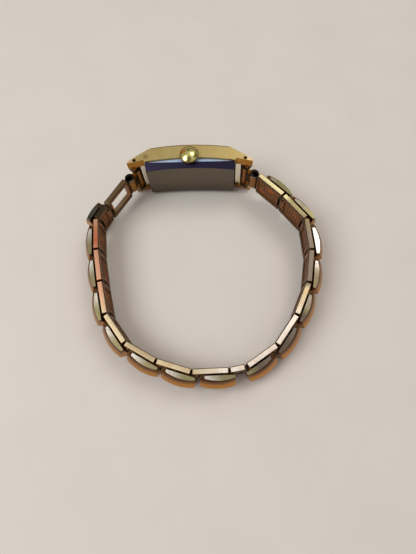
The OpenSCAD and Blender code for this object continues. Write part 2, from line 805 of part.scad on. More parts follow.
module spring_bars() {
    color([0.66, 0.66, 0.68]) for (s = [-1, 1]) translate([s * lug_span / 2, pin_y, mid_z]) {
        cylinder(r = bar_r, h = 2 * lug_in - play, center = true);
        cylinder(r = bar_tip_r, h = 2 * lug_in + bar_bite, center = true);
    }
}

// A link stands at a hinge point, its X along the strand and its Y outwards
module at_hinge(p, a, side) {
    translate([p[0], p[1], mid_z]) rotate(a) mirror([0, side < 0 ? 1 : 0, 0]) children();
}

module both_edges() { for (s = [0, 1]) mirror([0, 0, s]) children(); }

module end_link(p, a, side) {
    head_z = roll_z + head_start;
    color(COPPER_GOLD) at_hinge(p, a, side) difference() {
        union() {
            cylinder(r = barrel_r, h = 2 * barrel_z, center = true);
            translate([0, -neck_t / 2, -roll_z]) cube([end_l, neck_t, 2 * roll_z]);
            translate([end_l, 0, 0]) cylinder(r = roll_r, h = 2 * roll_z, center = true);
            both_edges() translate([0, -barrel_r, head_z])
                cube([head_l, 2 * barrel_r, barrel_z - head_z]);
        }
        cylinder(r = bar_r + run, h = case_w, center = true);
        translate([end_l, 0, 0]) cylinder(r = roll_pin_r + run, h = case_w, center = true);
        // The rolled sheet leaves a hollow at each end of the knuckle
        both_edges() translate([end_l, 0, roll_z - roll_hollow])
            cylinder(r = roll_r - roll_wall, h = over);
    }
}

module pin_hole(x, r) { translate([x, 0, 0]) cylinder(r = r, h = 2 * band_w, center = true); }

// Cross bars and ribbed panel that close the inner face of a link
module link_panel(x0, x1) {
    reach = panel_z + eps;
    ribs = floor((x1 - x0 - 2 * bar_l) / rib_pitch);
    rib_step = (x1 - x0 - 2 * bar_l) / ribs;
    for (x = [x0, x1 - bar_l]) cross_bar(x, bar_l);
    translate([x0 + bar_l / 2, panel_in - rail_t / 2, -reach])
        cube([x1 - x0 - bar_l, panel_t, 2 * reach]);
    for (i = [0:ribs - 1])
        translate([x0 + bar_l + rib_step * (i + 0.5) - rib_w / 2, panel_in - rib_h - rail_t / 2,
            rib_end - panel_z]) cube([rib_w, rib_h + eps, 2 * (panel_z - rib_end)]);
}

// A bar from rail to rail
module cross_bar(x, l) {
    translate([x, -rail_t / 2, -panel_z - eps]) cube([l, rail_t / 2 + web_rise, 2 * panel_z + 2 * eps]);
}

// One link: two rails, inner panel, centre knuckle, two ears and the next pin
module link(p, a, side, length, first, end_plain, panel) {
    x0 = first ? rail_start : rail_gap / 2;
    x1 = length - (end_plain ? end_relief : rail_gap / 2);
    panel_0 = first ? rail_start : web_x;
    panel_1 = end_plain ? x1 : length - web_x;
    web_l = web_x + web_lap;
    web_h = rail_t / 2 + web_rise;
    color(COPPER_GOLD) at_hinge(p, a, side) {
        difference() {
            union() {
                both_edges() translate([x0, -rail_t / 2, panel_z]) cube([x1 - x0, rail_t, rail_w]);
                if (panel) link_panel(panel_0, panel_1);
                else for (x = [panel_0, panel_1 - frame_bar]) cross_bar(x, frame_bar);
                if (first) both_edges() {
                    translate([0, -arm_w / 2, arm_in]) cube([rail_start + bar_l, arm_w, arm_t]);
                    translate([0, 0, arm_in]) cylinder(r = arm_r, h = arm_t);
                } else {
                    cylinder(r = rail_t / 2, h = 2 * knuckle_z, center = true);
                    translate([0, -rail_t / 2, -knuckle_z]) cube([web_l, web_h, 2 * knuckle_z]);
                }
                if (!end_plain) both_edges() {
                    translate([length, 0, ear_in]) cylinder(r = rail_t / 2, h = ear_out - ear_in);
                    translate([length - web_l, -rail_t / 2, ear_in]) cube([web_l, web_h, ear_out - ear_in]);
                }
            }
            pin_hole(0, first ? roll_pin_r + seat : pin_r + run);
            if (!end_plain) translate([length, 0, 0])
                cylinder(r = pin_r + seat, h = 2 * (ear_out + seat), center = true);
        }
        // Pins that ride in this link
        if (!end_plain) translate([length, 0, 0])
            cylinder(r = pin_r, h = 2 * (ear_out - seat), center = true);
        if (first) cylinder(r = roll_pin_r, h = 2 * (arm_in + arm_t), center = true);
    }
}

// A cap: a roof with a soft ridge, turned round the arc of the cap, over a flat chord
module cap(p, a, side, x0, x1) {
    mid_x = (x0 + x1) / 2;
    axis_y = cap_y + cap_t - cap_r;
    skirt_z = band_w / 2 - side_plate_t;
    ring_t = 2 * cap_t;
    ridge_x = cap_r + cap_bulge - ridge_r;
    rest = ridge_x - cap_r - cap_edge;
    pitch_a = asin(ridge_r / norm([skirt_z, rest])) + atan2(rest, skirt_z);
    touch = ridge_r * [cos(pitch_a), sin(pitch_a)];
    color(AMBER_GOLD) at_hinge(p, a, side) {
        intersection() {
            translate([mid_x, axis_y, 0]) rotate_extrude($fn = 180) {
                polygon([[cap_r - ring_t, -skirt_z], [cap_r + cap_edge, -skirt_z],
                    [ridge_x + touch[0], -touch[1]], [ridge_x + touch[0], touch[1]],
                    [cap_r + cap_edge, skirt_z], [cap_r - ring_t, skirt_z]]);
                translate([ridge_x, 0]) circle(ridge_r, $fn = 96);
            }
            translate([x0, cap_y, -band_w]) cube([x1 - x0, 2 * ring_t, 2 * band_w]);
        }
        // Side plates, set in from the outer surface, with a block behind each
        both_edges() {
            translate([0, 0, skirt_z - eps]) linear_extrude(side_plate_t + eps) intersection() {
                translate([mid_x, axis_y]) circle(cap_r - side_inset, $fn = 180);
                translate([x0 + side_start, cap_y]) square([x1 - x0 - side_start, cap_t]);
            }
            translate([x0 + block_gap, cap_y, skirt_z - eps]) cube([side_start - 2 * block_gap,
                cap_end_t - block_gap / 2, side_plate_t - block_gap]);
            translate([x0 + 2 * block_gap, rail_t / 2, panel_z + block_gap])
                cube([tab_l, cap_gap + eps, rail_w - 3 * block_gap]);
        }
    }
}

// Where the cap of a link begins and ends along that link
function cap_from(length) =
    length == short_l ? rail_gap / 2 : length - pitch + cap_shift + cap_space / 2;
function cap_to(length, at_clasp) =
    length + (at_clasp ? clasp_reach : cap_shift - cap_space / 2);

module left_link(i) {
    link(LEFT_P[i], LEFT_A[i], -1, LEFT_L[i], i == 1, i == LEFT_N, i > 1 && i < LEFT_N);
}
module right_link(i) { link(RIGHT_P[i], RIGHT_A[i], 1, RIGHT_L[i], i == 1, i == RIGHT_N, true); }
module left_cap(i) {
    cap(LEFT_P[i], LEFT_A[i], -1, cap_from(LEFT_L[i]), cap_to(LEFT_L[i], false));
}
module right_cap(i) {
    cap(RIGHT_P[i], RIGHT_A[i], 1, cap_from(RIGHT_L[i]), cap_to(RIGHT_L[i], i == RIGHT_N));
}

// Hinge points and directions, for anyone who fits joints to the parts
echo(left_hinges = LEFT_P, left_directions = LEFT_A);
echo(right_hinges = RIGHT_P, right_directions = RIGHT_A);
echo(bend = BEND, stem_y = stem_y, pin_y = pin_y, mid_z = mid_z);
echo(minute_at = minute_at, step_at = step_at, rotor_at = rotor_at);

case_shell();
crystal();
crystal_gasket();
dial();
case_back();
back_gasket();
crown();
stem();
crown_tube();
clutch_wheel();
movement_ring();
main_plate();
train_bridge();
battery();
battery_strap();
circuit_board();
coil();
stator();
rotor();
step_wheel();
centre_wheel();
minute_wheel();
hour_wheel();
minute_hand();
hour_hand();
spring_bars();
end_link(LEFT_P[0], LEFT_A[0], -1);  // end_link_left
end_link(RIGHT_P[0], RIGHT_A[0], 1);  // end_link_right
for (i = [1:LEFT_N]) left_link(i);
for (i = [1:RIGHT_N]) right_link(i);
for (i = [2:LEFT_N - 1]) left_cap(i);
for (i = [1:RIGHT_N]) right_cap(i);
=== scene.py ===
# %% [markdown]
# # A small gold wristwatch lying on its side
# This lesson dresses a rectangular quartz watch whose link bracelet is closed into a loop.
# The solids come from the CAD model, which is loaded as a fixed frame. Every new piece is
# modelled in its place and rides on a body of that frame, so it moves as the real one does.

# %% Load the frame
import bpy, json, math
from mathutils import Matrix, Vector

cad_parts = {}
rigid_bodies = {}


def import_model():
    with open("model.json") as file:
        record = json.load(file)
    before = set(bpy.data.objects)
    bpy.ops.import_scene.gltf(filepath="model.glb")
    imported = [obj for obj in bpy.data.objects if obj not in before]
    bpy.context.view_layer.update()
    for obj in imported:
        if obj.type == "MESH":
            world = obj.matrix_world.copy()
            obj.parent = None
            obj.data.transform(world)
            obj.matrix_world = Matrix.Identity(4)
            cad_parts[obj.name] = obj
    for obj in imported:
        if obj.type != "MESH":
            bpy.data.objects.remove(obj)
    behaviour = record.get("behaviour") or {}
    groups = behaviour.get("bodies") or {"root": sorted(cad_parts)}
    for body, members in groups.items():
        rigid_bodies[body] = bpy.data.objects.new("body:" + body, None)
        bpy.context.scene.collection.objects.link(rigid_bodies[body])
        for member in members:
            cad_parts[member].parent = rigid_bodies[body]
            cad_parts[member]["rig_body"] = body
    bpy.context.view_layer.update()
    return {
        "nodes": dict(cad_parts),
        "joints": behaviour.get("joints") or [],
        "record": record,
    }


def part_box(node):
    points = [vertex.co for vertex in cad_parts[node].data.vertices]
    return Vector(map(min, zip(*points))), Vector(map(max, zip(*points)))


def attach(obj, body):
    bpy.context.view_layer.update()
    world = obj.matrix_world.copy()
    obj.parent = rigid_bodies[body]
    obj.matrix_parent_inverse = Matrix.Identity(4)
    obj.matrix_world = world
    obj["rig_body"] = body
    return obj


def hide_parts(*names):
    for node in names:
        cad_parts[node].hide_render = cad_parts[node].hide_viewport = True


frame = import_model()
joints = {joint["name"]: joint for joint in frame["joints"]}
scene = bpy.context.scene

# %% [markdown]
# ## Camera
# The photo looks steeply down from behind the watch, so that the crown faces the lens and
# the dial looks away. A camera is best turned by its three directions: right, up and back.

# %% Camera
right = Vector((0.99919, 0.0, -0.04030))
up = Vector((0.01271, 0.94892, 0.31526))
back = Vector((0.03824, -0.31552, 0.94815))
camera = bpy.data.objects.new("camera", bpy.data.cameras.new("camera"))
scene.collection.objects.link(camera)
camera.matrix_world = Matrix.Translation(Vector((7.77, -59.44, 94.5)) / 1000) @ Matrix(
    (right, up, back)).transposed().to_4x4()
camera.data.lens = 26.0
camera.data.sensor_width = 36.0
camera.data.clip_start = 0.005
scene.camera = camera
print("camera at", [round(v * 1000, 1) for v in camera.location], "mm")

# %% [markdown]
# ## Floor
# A closed bracelet is narrower than the case, so the real watch leans until the case and
# the far links both touch the table. The floor is tilted by that small angle instead of
# the watch, because the frame itself is never moved.

# %% Floor
def deselect():
    if bpy.context.object and bpy.context.object.mode != "OBJECT":
        bpy.ops.object.mode_set(mode="OBJECT")
    bpy.ops.object.select_all(action="DESELECT")

deselect()
lean = math.atan2(2.7, 48.9)
bpy.ops.mesh.primitive_plane_add(size=3.0, location=(0, -0.0037, -0.00005),
                                 rotation=(-lean, 0, 0))
floor = bpy.context.object
floor.name = "floor"
print("floor tilted by", round(math.degrees(lean), 2), "degrees")

# %% [markdown]
# ## Light
# Metal shows what stands round it. A bright sky with a darker horizon gives each rail a
# pale top and a dark flank, and two broad lamps add soft highlights.

# %% Light
def lamp(name, place, size, power, colour):
    data = bpy.data.lights.new(name, "AREA")
    data.size, data.energy, data.color = size, power, colour
    made = bpy.data.objects.new(name, data)
    scene.collection.objects.link(made)
    made.location = place
    aim = Vector((0, -0.025, 0)) - made.location
    made.rotation_euler = aim.to_track_quat("-Z", "Y").to_euler()
    return made

lamp("window", (-0.30, -0.10, 0.42), 0.30, 1.45, (0.94, 0.97, 1.0))
lamp("ceiling", (0.22, 0.24, 0.50), 0.26, 0.95, (1.0, 0.97, 0.92))

world = bpy.data.worlds.new("studio")
scene.world = world
world.use_nodes = True
sky = world.node_tree.nodes
where = sky.new("ShaderNodeTexCoord")
apart = sky.new("ShaderNodeSeparateXYZ")
shade = sky.new("ShaderNodeValToRGB")
world.node_tree.links.new(where.outputs["Generated"], apart.inputs[0])
world.node_tree.links.new(apart.outputs["Z"], shade.inputs[0])
world.node_tree.links.new(shade.outputs[0], sky["Background"].inputs[0])
for element, position, colour in zip(shade.color_ramp.elements, (0.0, 0.9),
                                     ((0.36, 0.34, 0.32, 1), (0.95, 0.96, 1.0, 1))):
    element.position, element.color = position, colour
sky["Background"].inputs[1].default_value = 0.56
scene.view_settings.view_transform = "Standard"

# %% [markdown]
# ## Writing finishes as sums
# A finish is a small network of nodes. One class wraps a socket so that a plain Python sum
# adds its Math nodes, and one method adds any other node with its settings and values.

# %% Finish helper
class Flow:
    """A socket whose number can be used in Python sums."""
    def __init__(self, finish, socket):
        self.finish, self.socket = finish, socket

    def sum(self, operation, *values):
        named = {i: v for i, v in enumerate(values)}
        return self.finish.node("Math", {"operation": operation}, named)

    def __add__(self, other): return self.sum("ADD", self, other)
    def __sub__(self, other): return self.sum("SUBTRACT", self, other)
    def __rsub__(self, other): return self.sum("SUBTRACT", other, self)
    def __mul__(self, other): return self.sum("MULTIPLY", self, other)
    def __truediv__(self, other): return self.sum("DIVIDE", self, other)
    def clamped(self): return self.finish.node("Clamp", {}, {0: self})

class Finish:
    """A named material with its shader and one way to add nodes."""
    def __init__(self, name, **constants):
        self.material = bpy.data.materials.new(name)
        self.material.use_nodes = True
        self.tree = self.material.node_tree
        self.shader = self.tree.nodes["Principled BSDF"]
        self.give(**constants)

    def put(self, socket, value):
        if isinstance(value, Flow):
            self.tree.links.new(value.socket, socket)
        else:
            socket.default_value = value

    def give(self, **values):
        for name, value in values.items():
            self.put(self.shader.inputs[name.replace("_", " ")], value)

    def node(self, kind, settings, values, out=0):
        made = self.tree.nodes.new("ShaderNode" + kind)
        for name, value in settings.items():
            if name == "stops":
                ramp = made.color_ramp
                while len(ramp.elements) < len(value):
                    ramp.elements.new(0.5)
                for element, (place, colour) in zip(ramp.elements, value):
                    element.position, element.color = place, (*colour, 1)
            else:
                setattr(made, name, value)
        for name, value in values.items():
            self.put(made.inputs[name], value)
        return Flow(self, made.outputs[out])

    def place(self, scale=1000):
        """Object coordinates, in millimetres unless another scale is given."""
        spot = self.node("TexCoord", {}, {}, "Object")
        scale = scale if isinstance(scale, tuple) else (scale,) * 3
        return self.node("Mapping", {}, {"Vector": spot, "Scale": scale})

    def strand(self, scale=(1, 1, 1)):
        """Millimetres along and across the piece, from its own map."""
        spot = self.node("UVMap", {"uv_map": "strand"}, {})
        return self.node("Mapping", {}, {"Vector": spot, "Scale": scale})

    def axis(self, spot, k):
        """One number of a place: 0 for its x, 1 for its y, 2 for its z."""
        return self.node("SeparateXYZ", {}, {0: spot}, k)

    def cloud(self, spot, detail=3.0):
        return self.node("TexNoise", {}, {"Vector": spot, "Scale": 1.0, "Detail": detail})

    def step(self, value, low, high):
        return self.node("MapRange", {"interpolation_type": "SMOOTHSTEP"},
                         {"Value": value, "From Min": low, "From Max": high})

    def near(self, centre, inner, outer):
        """1 within inner millimetres of a place on the watch, 0 beyond outer."""
        gap = self.node("VectorMath", {"operation": "DISTANCE"},
                        {0: self.place(), 1: centre}, "Value")
        return 1.0 - self.step(gap, inner, outer)

    def mix(self, share, first, second):
        return self.node("Mix", {"data_type": "RGBA"}, {0: share, 6: first, 7: second}, 2)

    def patched(self, tone, *patches):
        """The tone, turned by a share to another colour round each given place."""
        for centre, inner, outer, share, colour in patches:
            tone = self.mix(self.near(centre, inner, outer) * share, tone, rgb(*colour))
        return tone

    def bump(self, height, strength, depth_mm):
        normal = self.node("Bump", {}, {"Height": height, "Strength": strength,
                                        "Distance": depth_mm / 1000})
        self.give(Normal=normal)

def rgb(red, green, blue):
    """A colour written as it looks, 0 to 255, as the linear light that a node takes."""
    def linear(v):
        v /= 255
        return v / 12.92 if v <= 0.04045 else ((v + 0.055) / 1.055) ** 2.4
    return (linear(red), linear(green), linear(blue), 1.0)

def two_tone(name, dark, light, scale, rough, metallic=1.0, detail=3.0):
    """A finish that drifts between two colours; rough is its least value and what grain adds."""
    made = Finish(name, Metallic=metallic)
    grain = made.cloud(made.place(scale), detail)
    made.give(Base_Color=made.mix(grain, rgb(*dark), rgb(*light)),
              Roughness=grain * rough[1] + rough[0])
    return made

plain_floor = Finish("plain floor", Roughness=0.75, Metallic=0.0)
grain = plain_floor.cloud(plain_floor.place(60))
plain_floor.give(Base_Color=plain_floor.mix(grain, rgb(206, 196, 184), rgb(214, 205, 194)))
floor.data.materials.append(plain_floor.material)
print("finish helper ready")

# %% [markdown]
# ## Metals of the case
# The gold side is satin, with fine brush lines that run from the dial to the back. There is
# a faint dark patch near one corner, and a thin line of painted shade follows the crest
# beside the glass. The lug ends carry a pale painted highlight, and the hoods between the
# lugs are a cream painted highlight, painted darker towards the floor as painted shade.
# The back is steel: a polished upper band painted pale blue and a darker bevel painted
# navy, both painted reflections, and a brushed face painted darker towards the floor as
# painted shade. Each zone is its own finish, chosen face by face.

# %% Case finishes
satin_gold = Finish("satin gold", Metallic=1.0)
lines = satin_gold.cloud(satin_gold.place((9000, 350, 900)))
patch = satin_gold.cloud(satin_gold.place(450), 2.0)
# A faint dark patch near one corner, broken up by the cloud.
dark_corner_patch = satin_gold.near((-10.6, -1.35, 12.6), 0.1, 1.1)
tone = satin_gold.mix(lines, rgb(176, 152, 92), rgb(204, 182, 124))
tone = satin_gold.mix((patch - 0.35).clamped() * 0.7, tone, rgb(184, 154, 86))
tone = satin_gold.mix(dark_corner_patch * patch * 1.6, tone, rgb(108, 76, 38))
# Painted highlight: pale cream at the corners of both lug ends.
tone = satin_gold.patched(tone, ((-14.6, -2.3, 12.6), 0.5, 1.3, 0.7, (226, 192, 154)),
                          ((14.6, -2.3, 12.6), 0.5, 1.3, 0.7, (226, 192, 154)))
spot = satin_gold.place()
along, out, high = (satin_gold.axis(spot, k) for k in range(3))
# The crest is an arch: it stands 1.75 mm high in the middle and falls by x * x / 116
below_crest = out + along * along / 116 - 1.75
# Painted shade: a thin dark line along the crest beside the glass.
crest_shade = satin_gold.step(below_crest, -0.24, -0.16) * satin_gold.step(along * along, 94, 90)
crest_shade = crest_shade * satin_gold.step(high, 12.3, 12.5)
tone = satin_gold.mix(crest_shade * 0.85, tone, rgb(84, 66, 42))
satin_gold.give(Base_Color=tone, Roughness=lines * 0.16 + 0.34)
satin_gold.bump(lines, 0.25, 0.02)

edge_gold = two_tone("edge gold", (164, 106, 40), (202, 146, 70), 1500, (0.25, 0.2))

# The hood between the lugs is a cream painted highlight, painted darker towards the floor as
# painted shade.
hood_highlight = Finish("hood highlight", Metallic=1.0)
rub = hood_highlight.cloud(hood_highlight.place(900), 2.0)
low_end_shade = hood_highlight.step(hood_highlight.axis(hood_highlight.place(), 2), 3.4, 2.0)
tone = hood_highlight.mix(rub, rgb(252, 238, 212), rgb(255, 250, 236))
hood_highlight.give(Base_Color=hood_highlight.mix(low_end_shade, tone, rgb(120, 76, 40)),
                Roughness=rub * 0.12 + 0.24)

edge_shadow = two_tone("edge shadow", (44, 32, 22), (86, 62, 40), 900, (0.35, 0.2), detail=2.0)
# The lug ends are painted pale cream: a painted highlight.
lug_highlight = two_tone("lug highlight", (222, 178, 128), (246, 216, 170), 1100, (0.25, 0.15))
# The polished upper band of the back is painted pale blue: a painted reflection.
steel_band_reflection = two_tone("steel band reflection", (160, 182, 216), (198, 214, 240),
                      300, (0.22, 0.1), metallic=0.5, detail=2.0)

# The bevel of the back is painted dark navy: a painted reflection.
steel_bevel_reflection = two_tone("steel bevel reflection", (36, 38, 56), (52, 42, 58),
                       (240, 900, 900), (0.34, 0.12), detail=2.0)

steel_brushed = Finish("steel brushed", Metallic=1.0)
lines = steel_brushed.cloud(steel_brushed.place((260, 260, 9000)))
patch = steel_brushed.cloud(steel_brushed.place(180), 2.0)
tone = steel_brushed.mix(lines, rgb(98, 88, 76), rgb(132, 118, 102))
tone = steel_brushed.mix(patch * 0.4, tone, rgb(104, 98, 92))
# Painted shade: the brushed face darkens towards the floor, nearly black at its lowest edge.
height = steel_brushed.axis(steel_brushed.place(), 2)
for above, below, share, colour in ((7.0, 1.0, 0.5, (74, 64, 54)), (1.4, 0.8, 0.8, (34, 26, 20))):
    tone = steel_brushed.mix(steel_brushed.step(height, above, below) * share, tone, rgb(*colour))
steel_brushed.give(Base_Color=tone, Roughness=lines * 0.15 + 0.36)
steel_brushed.bump(lines, 0.2, 0.02)
print("case finishes", [f.material.name for f in (satin_gold, edge_gold, steel_brushed)])

# %% [markdown]
# ## Metals of the bracelet
# Rolled gold wears to copper where it rubs. The rails carry a painted highlight along the
# near side of the loop, are coppery on the left side and grey-pink on the right side, so the
# tone is chosen by distance from those places. The lower rail is painted darker and two
# spots near-black, as painted shade; the flanks and the knuckles are painted dark bronze and
# the arms of the first links near-black, as painted shade. The caps' ridges are lighter, as
# wear and a painted highlight, their side plates carry painted highlights, and the crown
# carries painted reflections on its dome and a rim painted darker as painted shade.

# %% Bracelet finishes
TOP = 9.9    # height of the bracelet's upper side, where the tones were chosen

rail_gold = Finish("rail gold", Metallic=1.0)
speck = rail_gold.cloud(rail_gold.place(2600))
cloudy = rail_gold.cloud(rail_gold.place(420), 2.0)
tone = rail_gold.mix(speck, rgb(178, 156, 116), rgb(218, 202, 164))
# Painted highlight: the rails turn pale along the near side of the loop.
near_side_highlight = rail_gold.mix(speck, rgb(228, 208, 186), rgb(252, 244, 232))
tone = rail_gold.mix(rail_gold.near((16.5, -48.5, TOP), 9.0, 16.0) * 0.9, tone, near_side_highlight)
copper = rail_gold.mix(rail_gold.near((-22.0, -18.5, TOP), 3.0, 7.5),
                       rgb(206, 152, 120), rgb(186, 104, 72))
tone = rail_gold.mix(rail_gold.near((-20.6, -27.0, TOP), 6.0, 14.0), tone, copper)
tone = rail_gold.patched(tone, ((-10.2, -47.8, TOP), 2.8, 4.4, 0.5, (140, 122, 96)))
tone = rail_gold.mix((cloudy - 0.45).clamped() * 1.2, tone, rgb(190, 142, 100))
tone = rail_gold.patched(
    tone,
    ((27.6, -25.0, TOP), 8.0, 9.6, 0.9, (104, 92, 84)),       # grey-pink
    ((21.5, -9.0, TOP), 7.0, 10.4, 0.85, (200, 188, 142)),    # olive
    ((26.8, -15.0, TOP), 3.6, 5.6, 0.8, (122, 108, 78)),      # duller olive
    ((-17.0, -7.6, TOP), 5.2, 6.4, 0.9, (86, 66, 40)))        # bronze
# Painted shade: the lower rail, below the middle of the band, is painted darker.
height = rail_gold.axis(rail_gold.place(), 2)
tone = rail_gold.mix(rail_gold.step(height, 7.0, 5.0) * 0.8, tone, rgb(110, 86, 58))
# Painted shade: a near-black spot on a rail of the left strand.
tone = rail_gold.patched(tone, ((-21.4, -14.4, TOP), 1.9, 2.3, 0.95, (34, 30, 24)))
rail_gold.give(Base_Color=tone, Roughness=speck * 0.16 + 0.36)
rail_gold.bump(speck, 0.2, 0.02)

rail_edge = two_tone("rail edge", (54, 34, 20), (98, 64, 36), 900, (0.3, 0.2))

panel_bronze = Finish("panel bronze", Metallic=1.0)
rub = panel_bronze.cloud(panel_bronze.place(800))
tone = panel_bronze.mix(rub, rgb(110, 70, 40), rgb(160, 108, 66))
patch = panel_bronze.cloud(panel_bronze.place(380), 2.0)
tone = panel_bronze.mix((patch - 0.52).clamped() * 4, tone, rgb(204, 118, 52))
panel_bronze.give(Base_Color=tone, Roughness=rub * 0.2 + 0.3)

barrel_gold = two_tone("barrel gold", (132, 84, 40), (184, 130, 68),
                       (800, 800, 400), (0.28, 0.2))

# The flanks of the rails are painted dark bronze: painted shade.
rail_flank_shade = two_tone("rail flank shade", (84, 60, 38), (132, 100, 64), 900, (0.3, 0.2))
# The rims of the arms' round ends are painted pale: a painted highlight.
arm_rim_highlight = two_tone("arm rim highlight", (150, 142, 124), (206, 198, 180), 900, (0.2, 0.2))
# Knuckles, ears and the blocks under the caps are painted dark: painted shade.
knuckle_shade = two_tone("knuckle shade", (40, 30, 20), (96, 70, 40), 1000, (0.35, 0.2))
# The arms of the first links are painted near-black: painted shadow.
arm_shadow = two_tone("arm shadow", (22, 18, 16), (52, 42, 34), 1000, (0.3, 0.2), detail=2.0)

cap_amber = Finish("cap amber", Metallic=1.0)
cross = cap_amber.cloud(cap_amber.strand((9, 0.7, 1)), 2.0)
rub = cap_amber.cloud(cap_amber.place(500))
tone = cap_amber.mix(cross, rgb(72, 38, 10), rgb(116, 66, 16))
tone = cap_amber.mix((rub - 0.5).clamped(), tone, rgb(170, 126, 56))
# Lighter along the ridge: wear, and a painted highlight.
across = cap_amber.axis(cap_amber.strand(), 1)
worn = cap_amber.step(across * across, 8.5, 0.8)
tone = cap_amber.mix(worn * 0.8, tone, rgb(208, 140, 40))
cap_amber.give(Base_Color=tone, Roughness=cross * 0.2 + 0.22)
cap_amber.bump(cross, 0.3, 0.03)

cap_side = Finish("cap side", Metallic=1.0)
speck = cap_side.cloud(cap_side.place(1800))
# Painted highlight: the plate is pale at the start of the cap and fades to olive along it.
fade_from_highlight = cap_side.step(cap_side.axis(cap_side.strand(), 0), 2.5, 7.0)
tone = cap_side.mix(fade_from_highlight, rgb(212, 202, 190), rgb(140, 129, 92))
tone = cap_side.mix((speck - 0.4).clamped() * 1.4, tone, rgb(132, 116, 84))
tone = cap_side.patched(
    tone,
    ((21.0, -46.5, TOP), 7.0, 10.0, 0.85, (88, 74, 66)),      # plum
    ((28.5, -34.5, TOP), 3.5, 6.0, 0.7, (116, 100, 78)),      # umber
    ((21.5, -7.0, TOP), 8.0, 11.0, 0.7, (92, 88, 60)),        # olive
    # painted highlight: a white patch on the side of one right cap
    ((30.2, -21.9, TOP), 3.9, 4.6, 0.8, (250, 244, 232)),     # white
    # painted shade: a near-black patch on a cap of the left strand
    ((-23.0, -13.8, TOP), 2.6, 3.4, 0.9, (40, 36, 28)))       # black
cap_side.give(Base_Color=tone, Roughness=speck * 0.15 + 0.34)

crown_gold = Finish("crown gold", Metallic=1.0)
rub = crown_gold.cloud(crown_gold.place(900), 2.0)
tone = crown_gold.mix(rub, rgb(214, 196, 104), rgb(244, 232, 160))
crown_low, crown_high = (corner * 1000 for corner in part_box("crown"))
crown_at = (crown_low + crown_high) / 2

def on_dome(dx, dy):
    """A place on the crown's top, which falls towards its rim."""
    return (crown_at.x + dx, crown_at.y + dy, crown_high.z - 0.15 * (dx * dx + dy * dy))

# Painted reflections on the dome: an orange glint and three dark olive marks.
tone = crown_gold.patched(
    tone,
    (on_dome(-1.4, 0.6), 0.45, 0.8, 0.9, (254, 164, 72)),
    (on_dome(-0.15, 0.75), 0.15, 0.55, 0.75, (110, 100, 50)),
    (on_dome(1.5, -0.5), 0.3, 0.9, 0.8, (96, 92, 40)),
    (on_dome(-0.1, -1.6), 0.35, 0.9, 0.85, (96, 84, 44)))
crown_gold.give(Base_Color=tone, Roughness=rub * 0.08 + 0.14)

# The rim of the crown is painted darker than the dome: painted shade.
crown_rim_shade = two_tone("crown rim shade", (120, 88, 36), (176, 138, 64), 1200, (0.25, 0.1), detail=2.0)
print("bracelet finishes ready")

# %% [markdown]
# ## Working in edit mode
# Every shape is made in millimetres near the origin and brought to its place at the end.
# An operator works on what is selected, so each helper first clears the selection and
# then picks faces or edges by their place.

# %% Selecting and cutting
def only(piece):
    """Selects one piece and nothing else."""
    deselect()
    bpy.context.view_layer.objects.active = piece
    piece.select_set(True)

def edit(piece):
    only(piece)
    bpy.ops.object.mode_set(mode="EDIT")

def applied(piece):
    """Writes a piece's place and size into its points, so that they can be picked by place."""
    only(piece)
    bpy.ops.object.transform_apply(location=True, rotation=True, scale=True)
    return piece

def pick(piece, test, kind="FACE"):
    """Selects the faces or points whose middle passes the test, in edit mode."""
    bpy.ops.mesh.select_mode(type=kind)
    bpy.ops.mesh.select_all(action="DESELECT")
    bpy.ops.object.mode_set(mode="OBJECT")
    data = piece.data
    if kind == "FACE":
        for face in data.polygons:
            face.select = test(face.center, face.normal)
    else:
        for point in data.vertices:
            point.select = test(point.co, None)
    bpy.ops.object.mode_set(mode="EDIT")

def cut(piece, at, normal):
    """Cuts the piece by a plane and drops the side that the normal points to."""
    edit(piece)
    bpy.ops.mesh.select_all(action="SELECT")
    bpy.ops.mesh.bisect(plane_co=at, plane_no=normal, use_fill=True,
                        clear_outer=True, threshold=1e-6)
    bpy.ops.object.mode_set(mode="OBJECT")

print("mode before modelling:", bpy.context.mode)

# %% [markdown]
# ## Bars with rounded edges
# Most parts of a bracelet are bars, flat or round, with their edges taken off. Each starts
# as a primitive of the right size, gets its finish, and is rounded by a bevel modifier.

# %% Bars and bevels
def bevelled(piece, width, segments=2, degrees=35, finish_slot=-1):
    rounding = piece.modifiers.new("rounding", "BEVEL")
    rounding.width, rounding.segments = width, segments
    rounding.limit_method, rounding.angle_limit = "ANGLE", math.radians(degrees)
    rounding.use_clamp_overlap = True
    rounding.material = finish_slot
    only(piece)
    bpy.ops.object.modifier_apply(modifier="rounding")
    return piece

def finished(piece, *finishes):
    """Adds finishes to a piece, after those that it has."""
    for finish in finishes:
        piece.data.materials.append(finish.material)
    return piece

def zoned(piece, choose):
    """Gives each face the finish whose number the choice returns for its middle and normal."""
    for face in piece.data.polygons:
        face.material_index = choose(face.center, face.normal)
    return piece

def block(low, high, finish, width=0.0, edge=None):
    """A bevelled bar between two corners; its bevel may have a finish of its own."""
    deselect()
    low, high = Vector(low), Vector(high)
    bpy.ops.mesh.primitive_cube_add(size=1, location=(low + high) / 2)
    piece = bpy.context.object
    piece.scale = high - low
    finished(applied(piece), finish, *([edge] if edge else []))
    return bevelled(piece, width, finish_slot=1 if edge else -1) if width else piece

def roller(centre, radius, z0, z1, finish, sides=28, width=0.0):
    """A round bar along Z."""
    deselect()
    bpy.ops.mesh.primitive_cylinder_add(vertices=sides, radius=radius, depth=z1 - z0,
                                        location=(centre[0], centre[1], (z0 + z1) / 2))
    piece = finished(applied(bpy.context.object), finish)
    return bevelled(piece, width, 1, 60) if width else piece

print("bars ready, materials so far:", len(bpy.data.materials))

# %% [markdown]
# ## From parts to a piece in its place
# The bars of one link are joined, copied for each place, and moved there. The place is
# then written into the points, because the export puts every object at the origin.

